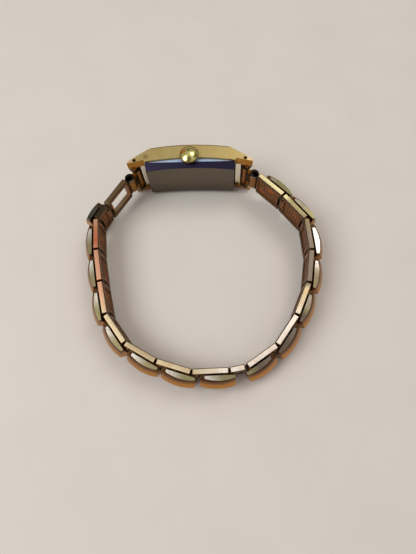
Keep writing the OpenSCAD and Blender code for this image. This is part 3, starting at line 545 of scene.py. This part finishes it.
# %% Joining and settling
def joined(parts, name):
    deselect()
    for part in parts:
        part.select_set(True)
    bpy.context.view_layer.objects.active = parts[0]
    bpy.ops.object.join()
    made = bpy.context.object
    made.name = made.data.name = name
    return made

def mapped(piece, coordinates):
    """Writes a map that holds, for each corner, two of the local millimetres."""
    layer = piece.data.uv_layers.new(name="strand")
    for loop in piece.data.loops:
        layer.data[loop.index].uv = coordinates(piece.data.vertices[loop.vertex_index].co)
    return piece

def copied(piece, name):
    made = piece.copy()
    made.data = piece.data.copy()
    made.name = made.data.name = name
    scene.collection.objects.link(made)
    return made

def smooth(piece, degrees=32):
    only(piece)
    bpy.ops.object.shade_smooth_by_angle(angle=math.radians(degrees))
    weighted = piece.modifiers.new("large faces stay flat", "WEIGHTED_NORMAL")
    weighted.keep_sharp = True
    bpy.ops.object.modifier_apply(modifier=weighted.name)

def settle(piece, place, body, slot, *nodes):
    """Brings a piece from local millimetres to its place and hands it to the frame."""
    piece.matrix_world = place @ Matrix.Scale(0.001, 4)
    smooth(applied(piece))
    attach(piece, body)
    if nodes:
        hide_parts(*nodes)
    return piece

print("CAD nodes to dress:", len(frame["nodes"]))

# %% [markdown]
# ## Softened copies
# The case, the back and the end links already have their exact shape in the CAD. A real
# edge is never razor sharp, so a copy of each is merged, given a small bevel that catches
# the light, and stands for its node. The bevel can carry a finish of its own.

# %% Softened copy
def softened(node, name, width, finishes, choose, edge_slot=-1):
    source = frame["nodes"][node]
    piece = copied(source, name)
    piece.parent = None
    for key in list(piece.keys()):
        del piece[key]
    piece.data.transform(Matrix.Scale(1000, 4))
    edit(piece)
    bpy.ops.mesh.select_all(action="SELECT")
    bpy.ops.mesh.remove_doubles(threshold=0.002)
    bpy.ops.mesh.dissolve_limited(angle_limit=math.radians(1.0))
    bpy.ops.object.mode_set(mode="OBJECT")
    piece.data.materials.clear()
    zoned(finished(piece, *finishes), choose)
    bevelled(piece, width, 2, 30, edge_slot)
    settle(piece, Matrix.Identity(4), source["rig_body"], slots[node], node)
    print(name, len(piece.data.polygons), "faces")
    return piece

slots = {part["node"]: part["material_slot"] for part in frame["record"]["subparts"]}
mid_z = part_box("case_shell")[1].z * 1000 / 2
print("middle of the case at", round(mid_z, 2), "mm,", len(slots), "slots")

# %% [markdown]
# ## Case, back and end pieces
# Each face gets the finish of its zone, which is read from where it lies and where it looks.

# %% Case, back and end pieces
lug_root, lug_tip = 11.2, 14.2    # from the middle of the case, along the bracelet
bar_x, bar_y = 13.4, -2.3         # the axis of a spring bar

def case_zone(at, normal):
    """Which finish of the list a face takes: hood and wall between the lugs come first."""
    x = abs(at.x)
    if abs(at.z - mid_z) < 5 and 10.8 < x < 12.4:
        if normal.y < -0.9:
            # the hood's front takes the painted highlight, the groove beside it the painted shadow
            return 3 if x > lug_root else 4
        if abs(normal.x) > 0.9 and at.y < -1.4:
            return 4
    if at.y < -2.0 and x > lug_root and normal.y < -0.4:
        return 1
    # the lug ends take the pale painted highlight
    return 2 if x > lug_tip and abs(normal.z) < 0.5 else 0

softened("case_shell", "case_side", 0.09,
         [satin_gold, edge_gold, lug_highlight, hood_highlight, edge_shadow], case_zone)

def back_zone(at, normal):
    """Ends in shadow, then the flat face, and the bevel and the upper band, which are painted
    reflections.
    """
    if abs(normal.x) > 0.6:
        return 3
    if normal.y < -0.8:
        return 2
    return 1 if normal.y < -0.2 else 0

softened("case_back", "back_cover", 0.03,
         [steel_band_reflection, steel_bevel_reflection, steel_brushed, edge_shadow], back_zone, 1)

def end_zone(at, normal):
    """Painted shade at the two ends and in the neck round the bar, a bright edge on top."""
    from_bar = math.hypot(abs(at.x) - bar_x, at.y - bar_y)
    if abs(at.z - mid_z) > 4.72 or 1.05 < from_bar < 1.8:
        return 2
    return 1 if normal.z > 0.9 else 0

for side in ("left", "right"):
    softened("end_link_" + side, "end_piece_" + side, 0.08,
             [barrel_gold, edge_gold, knuckle_shade], end_zone)

# %% [markdown]
# ## Crown
# The crown is turned from a bar: a disc whose rim is cut into flutes, with a low dome.
# A cylinder is a good start. Two of every four rim faces are inset and pushed in, and the
# top is inset and raised in steps until it is round.

# %% Crown
crown_r = (crown_high.x - crown_low.x) / 2
rim_h, flutes, facets = 0.6, 26, 4    # facets of the rim for each flute, half of them cut
rim_taper, rim_land = 0.5, 0.15
moat, rings = 0.12, 12                # depth of the groove round the dome, steps of the dome
dome_r = crown_r - 0.2
dome_h = crown_high.z - crown_low.z - rim_h
ball = (dome_r ** 2 + dome_h ** 2) / (2 * dome_h)
deselect()
bpy.ops.mesh.primitive_cylinder_add(vertices=flutes * facets, radius=crown_r, depth=rim_h,
                                    location=(0, 0, rim_h / 2))
crown = finished(applied(bpy.context.object), crown_gold, edge_shadow, crown_rim_shade)
edit(crown)
bpy.ops.mesh.select_all(action="SELECT")
bpy.ops.mesh.bisect(plane_co=(0, 0, rim_h - rim_land), plane_no=(0, 0, 1), threshold=1e-6)
pick(crown, lambda at, _: at.z < 0.01, "VERT")
shrunk = (crown_r - rim_taper) / crown_r
bpy.ops.transform.resize(value=(shrunk, shrunk, 1), center_override=(0, 0, 0))
pick(crown, lambda at, normal: normal.z > 0.9)
bpy.ops.mesh.inset(thickness=0.12, depth=0.0)
bpy.ops.mesh.inset(thickness=0.04, depth=-moat)
bpy.ops.mesh.inset(thickness=0.04, depth=0.0)
before, lift = dome_r, -moat
for k in range(rings):
    r = dome_r * math.cos(math.radians(88 * (k + 1) / rings))
    rise = dome_h - ball + math.sqrt(ball ** 2 - r ** 2)
    bpy.ops.mesh.inset(thickness=before - r, depth=0.0)
    bpy.ops.transform.translate(value=(0, 0, rise - lift))
    before, lift = r, rise
turn = math.tau / (flutes * facets)

def in_flute(at, normal):
    k = round((math.atan2(at.y, at.x) - turn / 2) / turn) % facets
    return abs(normal.z) < 0.2 and at.z < rim_h - 0.01 and k in (0, 1)

pick(crown, in_flute)
bpy.ops.mesh.inset(thickness=0.03, depth=-0.14)
bpy.ops.object.mode_set(mode="OBJECT")

def crown_zone(at, normal):
    """Gold on the dome, shadow in the groove and the flutes, the rim painted darker elsewhere, as
    painted shade.
    """
    away = at.xy.length
    if at.z > rim_h - 0.2 and away < dome_r - 0.03:
        return 0
    groove = at.z > rim_h - 0.2 and away < crown_r - 0.1
    flute = away < crown_r - 0.06 and abs(normal.z) < 0.5
    return 1 if groove or flute else 2

zoned(crown, crown_zone)
settle(crown, Matrix.Translation(Vector((crown_at.x, crown_at.y, crown_low.z)) / 1000),
       "crown", "polished_gold", "crown")
crown.name = "winding_crown"
tall = [point.co.z * 1000 for point in crown.data.vertices]
print("crown", len(crown.data.polygons), "faces, radius", round(crown_r, 2), "mm")
print("it stands from", round(min(tall), 2), "to", round(max(tall), 2), "mm; in the CAD from",
      round(crown_low.z, 2), "to", round(crown_high.z, 2), "mm")

# %% [markdown]
# ## One place for each link
# Each link is modelled with X along the strand and Y outwards, from its hinge. Its place
# on the watch follows from the hinge points of the frame, so nothing is fitted by eye.

# %% Link places
PITCH, FIRST, SHORT, CLASP = 7.9, 9.4, 4.15, 3.6

def pivot(name):
    return Vector(joints[name]["pos_m"]) * 1000

def strand_points(side, count):
    names = [side + "_spring_bar"] + [f"{side}_hinge_{k}" for k in range(1, count + 1)]
    return [pivot(name) for name in names]

def far_end(node, start):
    """The middle of a last link's far end, from the CAD mesh."""
    spots = [v.co * 1000 for v in frame["nodes"][node].data.vertices]
    away = sorted(spots, key=lambda p: -((p - start).xy.length))[:24]
    return sum(away, Vector()) / len(away)

left_points = strand_points("left", 9) + [pivot("clasp_hinge")]
right_points = strand_points("right", 7)
left_points.append(far_end("clasp_link", left_points[-1]))
right_points.append(far_end("link_right_7", right_points[-1]))

strands = {"left": (left_points, -1), "right": (right_points, 1)}

def link_place(side, k):
    """Where the k-th link of a strand lies, with its Y pointing out of the loop."""
    points, turn = strands[side]
    start, end = points[k], points[k + 1]
    along = Vector((end.x - start.x, end.y - start.y, 0)).normalized()
    out = Vector((-along.y, along.x, 0)) * turn
    across = along.cross(out)
    turn_to = Matrix((along, out, across)).transposed().to_4x4()
    return Matrix.Translation(Vector((start.x, start.y, mid_z)) / 1000) @ turn_to

print("left strand", [[round(p.x, 1), round(p.y, 1)] for p in left_points])
print("right strand", [[round(p.x, 1), round(p.y, 1)] for p in right_points])

# %% [markdown]
# ## Links
# A link is two flat rails with a ribbed panel between them. One rolled knuckle turns in
# the two ears of the link before. The long edges of the rails are rounded, and darker.

# %% Rails and panel
RAIL_T, RAIL_W, BAND = 1.3, 1.2, 7.2
WEB_TOP = 0.86     # clear of the cap before it, even when the strand opens past straight
END_GAP = 0.14     # from a pin's middle to the rails beside it
LAST_GAP = 0.28    # the same where the strand ends
WEB, BAR = 1.05, 0.85    # reach of a web past its pin, and where the panel begins
PANEL_Z = BAND / 2 - RAIL_W
EAR_IN, EAR_OUT, KNUCKLE = 1.56, BAND / 2 - RAIL_W - 0.06, 1.5

def rails(x0, x1):
    """Both rails, from x0 to x1 along the link, each with its sides painted darker, as painted
    shade.
    """
    made = []
    for low in (PANEL_Z, -PANEL_Z - RAIL_W):
        rail = block((x0, -RAIL_T / 2, low), (x1, RAIL_T / 2, low + RAIL_W),
                     rail_gold, 0.17, rail_edge)
        finished(rail, rail_flank_shade)
        for face in rail.data.polygons:
            if abs(face.normal.z) < 0.1:
                face.material_index = 2
        made.append(rail)
    return made

def panel(x0, x1, pitch=0.75):
    """The inner sheet with its ribs and two cross bars."""
    bar_w = 0.4
    made = [block((x0, -0.35, 0.1 - PANEL_Z), (x1, 0.15, PANEL_Z - 0.1), panel_bronze)]
    for x in (x0, x1 - bar_w):
        made.append(block((x, -RAIL_T / 2, -PANEL_Z), (x + bar_w, WEB_TOP, PANEL_Z),
                          panel_bronze, 0.06))
    ribbed = x1 - x0 - 2 * bar_w
    count = int(ribbed / pitch)
    for k in range(count):
        middle = x0 + bar_w + ribbed / count * (k + 0.5)
        made.append(block((middle - 0.13, -0.47, 0.35 - PANEL_Z),
                          (middle + 0.13, -0.3, PANEL_Z - 0.35), panel_bronze, 0.05))
    return made

print("rails", RAIL_W, "mm wide, panel", round(2 * PANEL_Z, 2), "mm")

# %% [markdown]
# ## Hinges and open links
# The knuckle and the ears share one axis, the pin. Both are short rollers with a web that
# ties them to the panel. Two cross bars hold the rails of a link that has no panel.

# %% Knuckle and ears
def knuckle(top=WEB_TOP):
    """The rolled tube that turns on the pin of the link before."""
    return [roller((0, 0), RAIL_T / 2, -KNUCKLE, KNUCKLE, knuckle_shade, 28, 0.05),
            block((0, -RAIL_T / 2, -KNUCKLE), (WEB, top, KNUCKLE), panel_bronze, 0.05)]

def ears(length):
    made = [roller((length, 0), 0.35, -EAR_OUT + 0.03, EAR_OUT - 0.03, knuckle_shade, 20)]
    for low in (EAR_IN, -EAR_OUT):
        high = low + EAR_OUT - EAR_IN
        made.append(roller((length, 0), RAIL_T / 2, low, high, knuckle_shade, 28, 0.05))
        made.append(block((length - WEB, -RAIL_T / 2, low), (length, WEB_TOP, high),
                          knuckle_shade, 0.04))
    return made

def crossbars(places, top):
    """The two bars that hold the rails of an open link."""
    return [block((x, -RAIL_T / 2, -PANEL_Z), (x + 0.5, top, PANEL_Z), panel_bronze, 0.08)
            for x in places]

print("knuckle", 2 * KNUCKLE, "mm wide between ears at", EAR_IN, "mm")

# %% [markdown]
# ## Whole links
# Six patterns make the bracelet: a full, a short and a last link, two first links with flat
# arms, one of them bare, and the bare link at the clasp. Each is modelled once.

# %% Whole links
def full_link(length, last=False):
    end = length - (LAST_GAP if last else END_GAP)
    made = rails(END_GAP, end) + knuckle()
    made += panel(BAR, end if last else length - BAR)
    return joined(made + ([] if last else ears(length)), "link pattern")

def first_link(bare):
    """The link that hangs on the end piece by two flat arms with round ends."""
    arm_in, arm_out, disc_r, start = 2.06, 2.56, 1.15, 1.55
    made = rails(start, FIRST - END_GAP) + ears(FIRST)
    made.append(roller((0, 0), 0.45, -arm_out, arm_out, knuckle_shade, 24))
    # The arms are painted near-black as painted shadow, and the rims of their round ends pale as
    # painted highlight.
    for low in (arm_in, -arm_out):
        high = low + arm_out - arm_in
        made.append(block((0, -RAIL_T / 2, low), (start + 0.4, RAIL_T / 2, high), arm_shadow, 0.08))
        disc = finished(roller((0, 0), disc_r, low, high, arm_shadow, 32, 0.08), arm_rim_highlight)
        made.append(zoned(disc, lambda _, normal: int(abs(normal.z) < 0.5)))
    if bare:
        made += crossbars((start, FIRST - BAR - 0.5), WEB_TOP)
    else:
        made += panel(start, FIRST - BAR)
    return joined(made, "first pattern")

def clasp_link():
    """The bare link; it swings further than the others, so its webs are lower."""
    end, top = CLASP - LAST_GAP, 0.7
    return joined(rails(END_GAP, end) + knuckle(top) + crossbars((BAR, end - 0.5), top),
                  "clasp pattern")

patterns = {"full": full_link(PITCH), "short": full_link(SHORT), "last": full_link(PITCH, True),
            "bare": first_link(True), "first": first_link(False), "clasp": clasp_link()}
print("link patterns", {kind: len(made.data.polygons) for kind, made in patterns.items()})

# %% [markdown]
# ## Hanging the links
# Each link is a copy of its pattern, with its own mesh, on the body of the link it dresses.

# %% Hang the links
def hang(pattern, name, slot, side, k, body, node):
    """Sets a copy of a pattern in the place of the k-th link of a strand."""
    return settle(copied(pattern, name), link_place(side, k), body, slot, node)

for k in range(1, 10):
    kind = "bare" if k == 1 else "short" if k == 2 else "full"
    hang(patterns[kind], f"rail_left_{k}", "rolled_gold", "left", k,
         f"left_{k}", f"link_left_{k}")
hang(patterns["clasp"], "rail_clasp", "rolled_gold", "left", 10, "clasp", "clasp_link")
for k in range(1, 8):
    kind = "first" if k == 1 else "last" if k == 7 else "full"
    hang(patterns[kind], f"rail_right_{k}", "rolled_gold", "right", k,
         f"right_{k}", f"link_right_{k}")
for pattern in patterns.values():
    bpy.data.objects.remove(pattern)

# %% [markdown]
# ## Caps
# Each link carries a curved cap on its outside, shaped like a roof with a soft ridge. It is
# cut from a wide disc: the disc is crossed by cuts, each ring is made as wide as the roof
# is there, and planes cut away all but one short stave. Flat plates close its two sides,
# set in by a hair.

# %% Roof of a cap
CAP_Y = 0.95                  # where a cap begins, above the hinge line
CAP_T, CAP_END = 1.2, 0.45    # its height in the middle and at its ends, along the link
RIDGE, RIM = 1.3, 0.12        # how much higher the ridge and the rim stand, across it
RIDGE_R, PLATE_T = 1.5, 0.37
CAP_L = PITCH - 0.4
SAG = CAP_T - CAP_END
CAP_R = (CAP_L ** 2 / 4 + SAG ** 2) / (2 * SAG)
SKIRT = BAND / 2 - 0.35

REST = RIDGE - RIDGE_R - RIM
SLOPE = math.asin(RIDGE_R / math.hypot(SKIRT, REST)) + math.atan2(REST, SKIRT)

def swell(z):
    """How far the roof of a cap stands out at a height: straight slopes and a round ridge."""
    away = abs(z)
    if away < RIDGE_R * math.sin(SLOPE):
        return RIDGE - RIDGE_R + math.sqrt(RIDGE_R ** 2 - away ** 2)
    return RIM + (SKIRT - away) * math.tan(SLOPE)

def stave(x0, x1, radius, half_z, finish, roofed=False):
    """A slice of a disc, or of a roofed one, over a flat chord between x0 and x1."""
    deselect()
    middle = Vector(((x0 + x1) / 2, CAP_Y + CAP_T - CAP_R, 0))
    bpy.ops.mesh.primitive_cylinder_add(vertices=300, radius=radius, depth=2 * half_z,
                                        location=middle)
    piece = finished(applied(bpy.context.object), finish)
    if roofed:
        turned = [RIDGE_R * math.sin(SLOPE * k / 3) for k in range(-3, 4)]
        heights = [-half_z] + turned + [half_z]
        edit(piece)
        for z in heights[1:-1]:
            bpy.ops.mesh.select_all(action="SELECT")
            bpy.ops.mesh.bisect(plane_co=(0, 0, z), plane_no=(0, 0, 1), threshold=1e-6)
        for z in heights:
            pick(piece, lambda at, _: abs(at.z - z) < 0.01, "VERT")
            grown = 1 + swell(z) / radius
            bpy.ops.transform.resize(value=(grown, grown, 1), center_override=middle)
        bpy.ops.object.mode_set(mode="OBJECT")
    cut(piece, (0, CAP_Y, 0), (0, -1, 0))
    cut(piece, (x0, 0, 0), (-1, 0, 0))
    cut(piece, (x1, 0, 0), (1, 0, 0))
    return piece

print("cap radius", round(CAP_R, 2), "mm, slope", round(math.degrees(SLOPE), 1), "degrees")

# %% [markdown]
# ## One cap
# The shell is a roofed stave. A flat plate closes each side, and small blocks carry the cap
# on its link. Its own map runs along and across it, for the fine scratches.

# %% Cap
def cap(x0, x1):
    shell = finished(stave(x0, x1, CAP_R, SKIRT, cap_amber, True), rail_edge)
    zoned(shell, lambda _, normal: int(abs(normal.z) > 0.9))
    parts = [bevelled(shell, 0.2, 3, 35)]
    for low in (SKIRT - 0.02, -BAND / 2):
        plate = stave(x0 + 1.1, x1 - 0.05, CAP_R - 0.12, PLATE_T / 2, cap_side)
        only(plate)
        bpy.ops.transform.translate(value=(0, 0, low + PLATE_T / 2))
        parts.append(bevelled(applied(plate), 0.05, 2, 35))
        z0, z1 = (SKIRT - 0.02, BAND / 2 - 0.1) if low > 0 else (0.1 - BAND / 2, 0.02 - SKIRT)
        parts.append(block((x0 + 0.1, CAP_Y, z0), (x0 + 0.95, CAP_Y + 0.4, z1),
                           knuckle_shade, 0.05))
    for low in (BAND / 2 - 1.1, -BAND / 2 + 0.2):
        parts.append(block((x0 + 0.2, RAIL_T / 2 - 0.02, low), (x0 + 1.2, CAP_Y + 0.02, low + 0.9),
                           knuckle_shade))
    return mapped(joined(parts, "cap pattern"), lambda at: (at.x, at.z))

shift, space = 1.4, 0.4
spans = {"full": (shift + space / 2, PITCH + shift - space / 2),
         "short": (0.25, SHORT + shift - space / 2),
         "first": (FIRST - PITCH + shift + space / 2, FIRST + shift - space / 2),
         "last": (shift + space / 2, PITCH + 0.8)}
cap_patterns = {kind: cap(*span) for kind, span in spans.items()}
print("cap patterns", {kind: len(made.data.polygons) for kind, made in cap_patterns.items()})

# %% [markdown]
# ## Setting the caps
# A cap takes the place of its link, so it moves as that link does.

# %% Set the caps
for k in range(2, 10):
    kind = "short" if k == 2 else "full"
    hang(cap_patterns[kind], f"shield_left_{k}", "cap_gold", "left", k,
         f"left_{k}", f"cap_left_{k}")
for k in range(1, 8):
    kind = "first" if k == 1 else "last" if k == 7 else "full"
    hang(cap_patterns[kind], f"shield_right_{k}", "cap_gold", "right", k,
         f"right_{k}", f"cap_right_{k}")
for pattern in cap_patterns.values():
    bpy.data.objects.remove(pattern)

# %% [markdown]
# ## The parts that keep their CAD shape
# The dial, the hands, the glass and the movement have the right form already. Each gets
# a finish of its own kind through its material slot.

# %% Finishes of the inner parts
glass = Finish("mineral glass", Base_Color=(0.9, 0.95, 0.97, 1), Roughness=0.03,
               Metallic=0.0, IOR=1.5)
smear = glass.cloud(glass.place(250), 2.0)
glass.give(Alpha=smear * 0.05 + 0.14)

inner = {
    "mineral_glass": glass,
    "seal_rubber": two_tone("seal rubber", (20, 20, 20), (44, 44, 42), 900, (0.7, 0.1), 0.0),
    "dial_paint": two_tone("dial ivory", (226, 220, 200), (240, 235, 218),
                           (500, 500, 4000), (0.4, 0.1), 0.0),
    "polished_gold": two_tone("polished gold", (150, 104, 38), (196, 148, 66), 700, (0.2, 0.1)),
    "bright_steel": two_tone("bright steel", (150, 150, 154), (196, 196, 200),
                             (1200, 400, 1200), (0.25, 0.15)),
    "movement_brass": two_tone("movement brass", (186, 152, 84), (220, 188, 120),
                               (1500, 400, 500), (0.3, 0.15)),
    "ring_plastic": two_tone("ring plastic", (206, 202, 186), (222, 218, 204),
                             800, (0.5, 0.1), 0.0),
    "board_green": two_tone("board green", (16, 66, 44), (30, 92, 60), 600, (0.35, 0.1), 0.0),
    "copper_wire": two_tone("copper wire", (120, 52, 22), (188, 96, 48),
                            (12000, 800, 800), (0.3, 0.2)),
}
# The spring bars are painted near black, so that the lug holes read as shade: painted shade.
dark_steel_shade = two_tone("dark steel shade", (30, 28, 28), (64, 58, 54), 900, (0.4, 0.15))
for name, node in frame["nodes"].items():
    if not node.hide_render and slots[name] in inner:
        worn = dark_steel_shade if name == "spring_bars" else inner[slots[name]]
        node.data.materials.clear()
        node.data.materials.append(worn.material)
        print(name, "wears", worn.material.name)

# %% [markdown]
# ## Dial markers
# Four applied bars mark 12, 3, 6 and 9 o'clock. The photo doesn't show the dial, but from
# that side they are the first thing that tells which way the hands are read.

# %% Dial markers
dial_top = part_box("dial")[1].y * 1000
bars = []
for x, z, half_x, half_z in ((7.0, 0, 0.62, 0.2), (-7.0, 0, 0.62, 0.2),
                             (0, 2.8, 0.2, 0.62), (0, -2.8, 0.2, 0.62)):
    bars.append(block((x - half_x, dial_top - 0.12, mid_z + z - half_z),
                      (x + half_x, dial_top + 0.04, mid_z + z + half_z),
                      inner["polished_gold"], 0.05))
settle(joined(bars, "dial_markers"), Matrix.Identity(4), "case", "polished_gold")
print("dial markers", len(bars))

# %% Finish
deselect()
